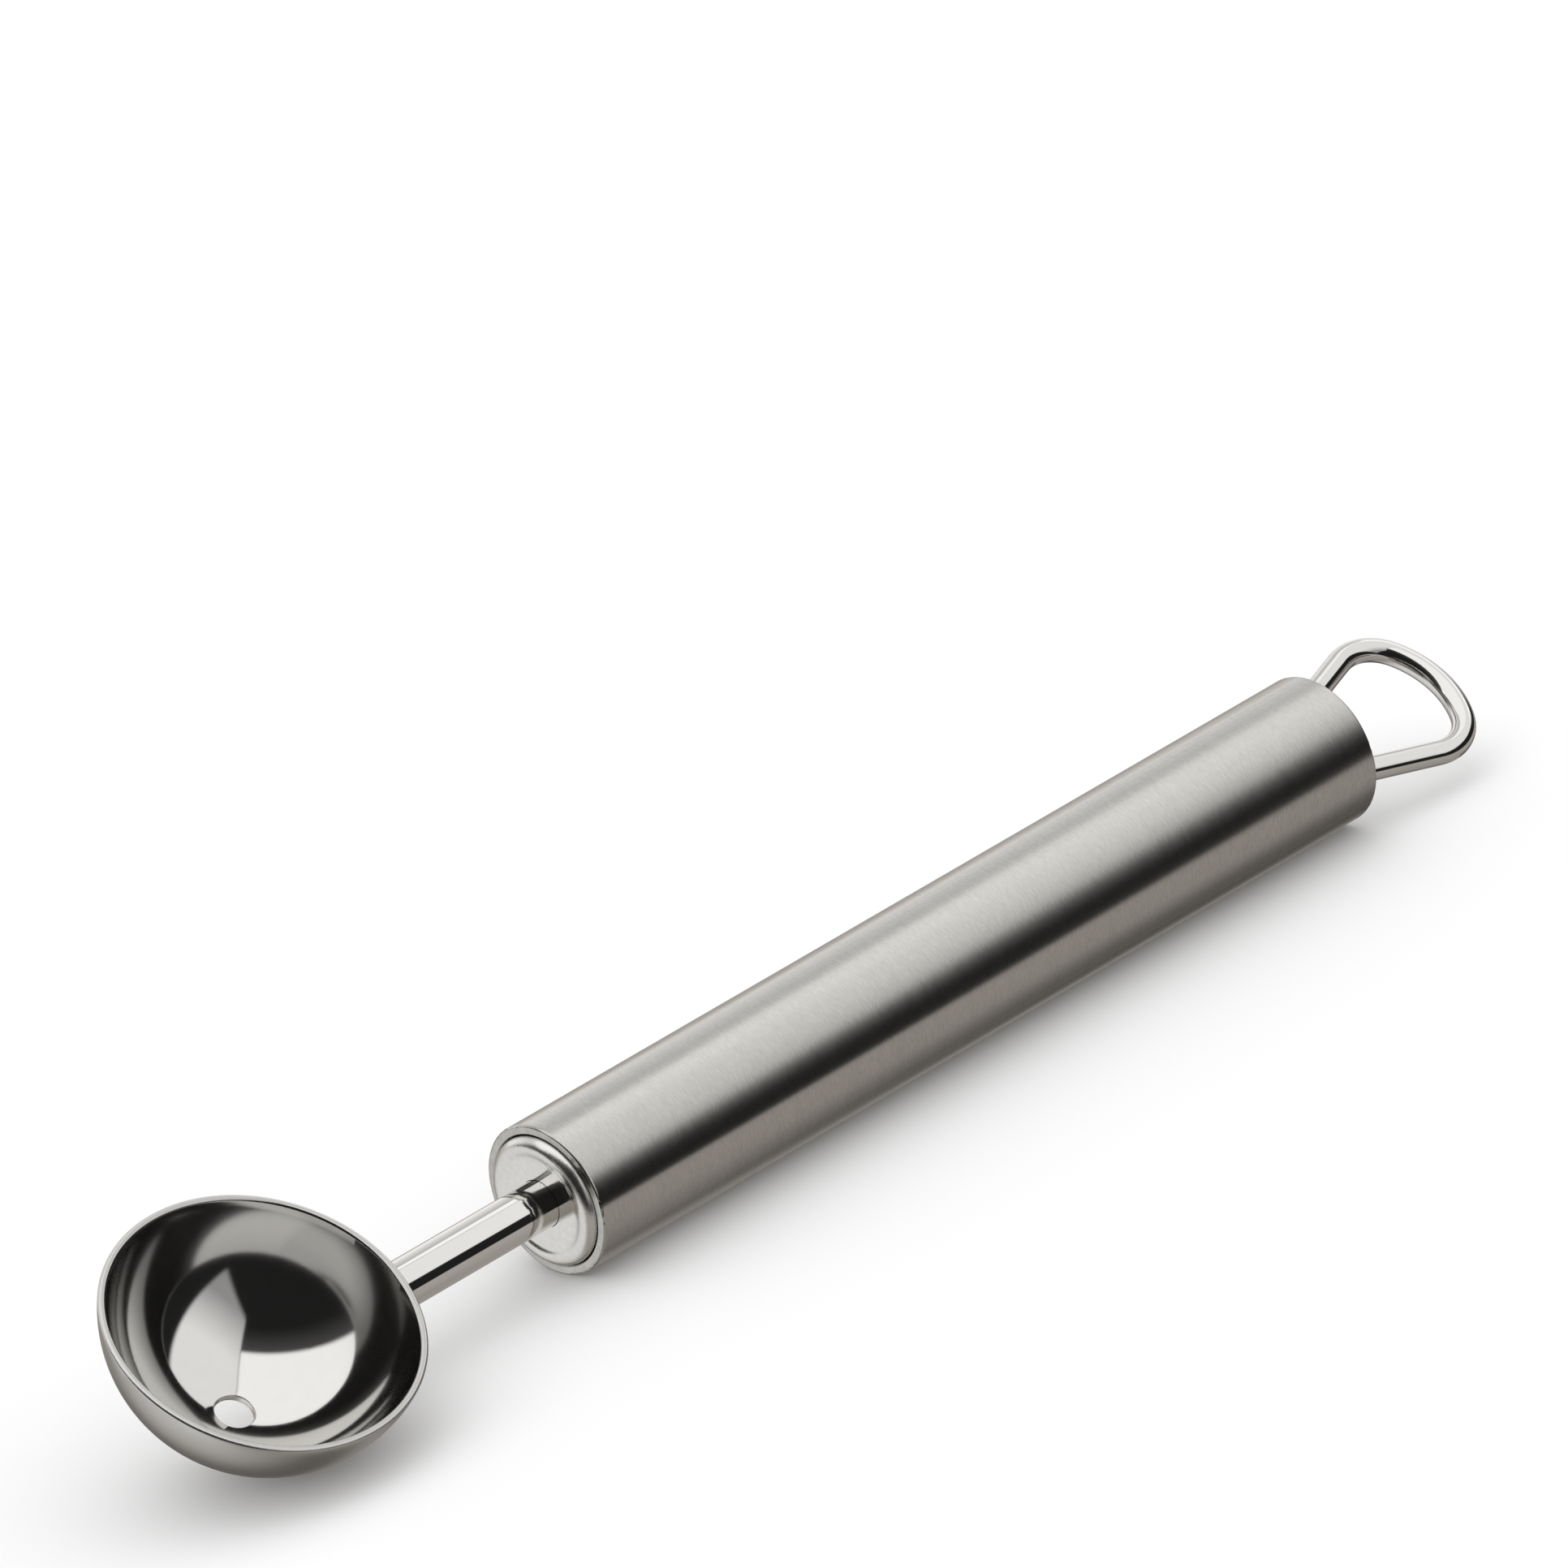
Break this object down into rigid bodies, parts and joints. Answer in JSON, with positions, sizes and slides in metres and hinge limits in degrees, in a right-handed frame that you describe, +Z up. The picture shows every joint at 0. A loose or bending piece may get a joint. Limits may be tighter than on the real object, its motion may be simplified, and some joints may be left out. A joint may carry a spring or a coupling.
{
  "type": "melon baller",
  "caption": "Stainless steel melon baller: round cutting bowl with a vent hole, round neck rod, brushed tube handle with end caps, and a bent wire hanging loop.",
  "frame": {"origin": "middle of the footprint, on the table that the tool lies on", "axes": "+X along the handle from the bowl to the hanging loop, +Z up from the table. The tool is rolled 34.6 degrees about its handle, so that the bowl's mouth and the loop's plane lean towards -Y and the side of the bowl rests on the table"},
  "size_m": [0.187, 0.0284, 0.0237],
  "materials": {
    "bowl_steel": "mirror polished inside, satin outside",
    "polished_rod": "mirror polished",
    "pressed_cap": "satin, polished round the rod",
    "brushed_tube": "fine brushed round the tube",
    "polished_wire": "mirror polished"
  },
  "bodies": {
    "root": {"bowl": "bowl_steel", "neck_rod": "polished_rod", "front_cap": "pressed_cap", "handle_tube": "brushed_tube", "rear_cap": "pressed_cap", "hanging_loop": "polished_wire"}
  },
  "joints": []
}
